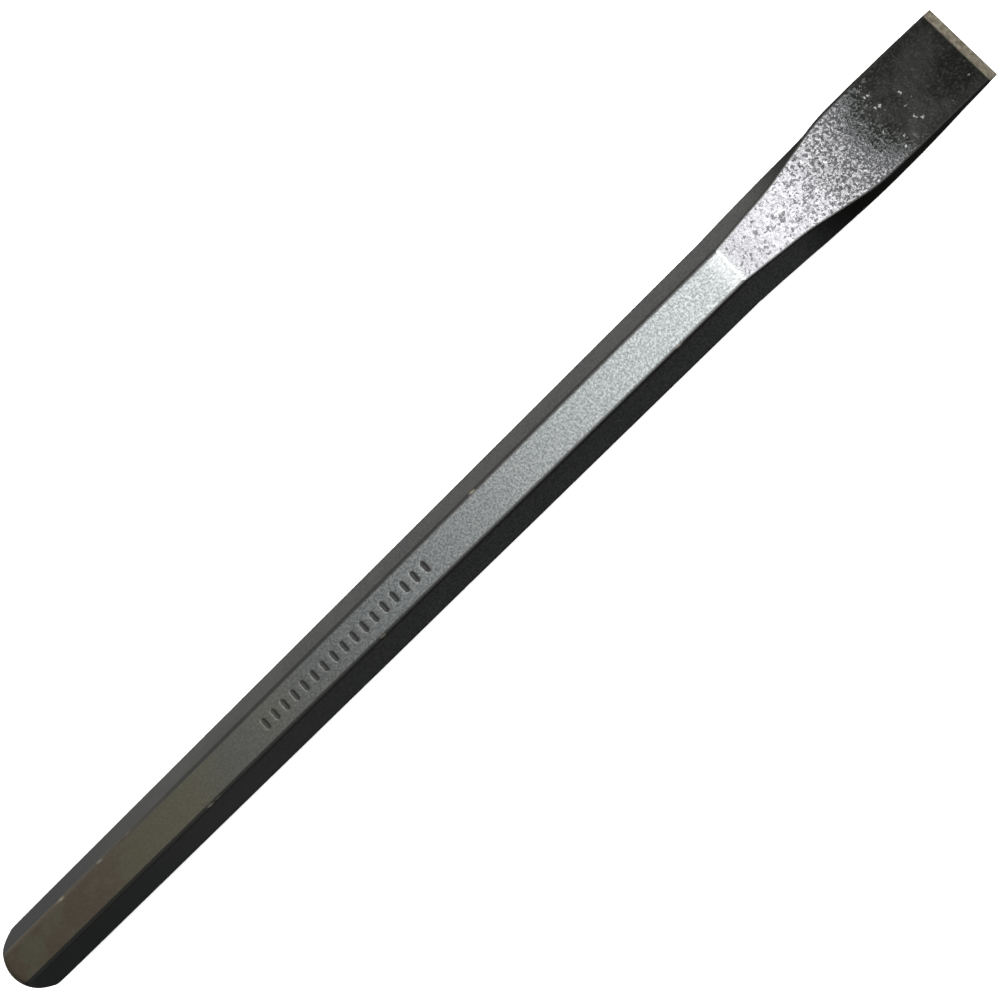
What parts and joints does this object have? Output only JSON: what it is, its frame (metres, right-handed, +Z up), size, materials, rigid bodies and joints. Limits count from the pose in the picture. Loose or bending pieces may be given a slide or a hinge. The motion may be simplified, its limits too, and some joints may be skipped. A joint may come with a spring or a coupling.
{
  "type": "cold chisel",
  "caption": "Long flat cold chisel forged from one hexagon steel bar, with a tapered blade, a ground cutting edge and a crowned struck head.",
  "frame": {"origin": "under the middle of the chisel's length and width, on the surface that it lies on", "axes": "+X along the bar from the struck head to the cutting edge, +Y across the blade's width, +Z up, normal to the flat that the chisel lies on"},
  "size_m": [0.3048, 0.0202, 0.0159],
  "materials": {
    "blackened_steel": "black oxide under clear lacquer on forged steel, bare and ground at the cutting edge"
  },
  "bodies": {
    "root": {"cold_chisel": "blackened_steel"}
  },
  "joints": []
}
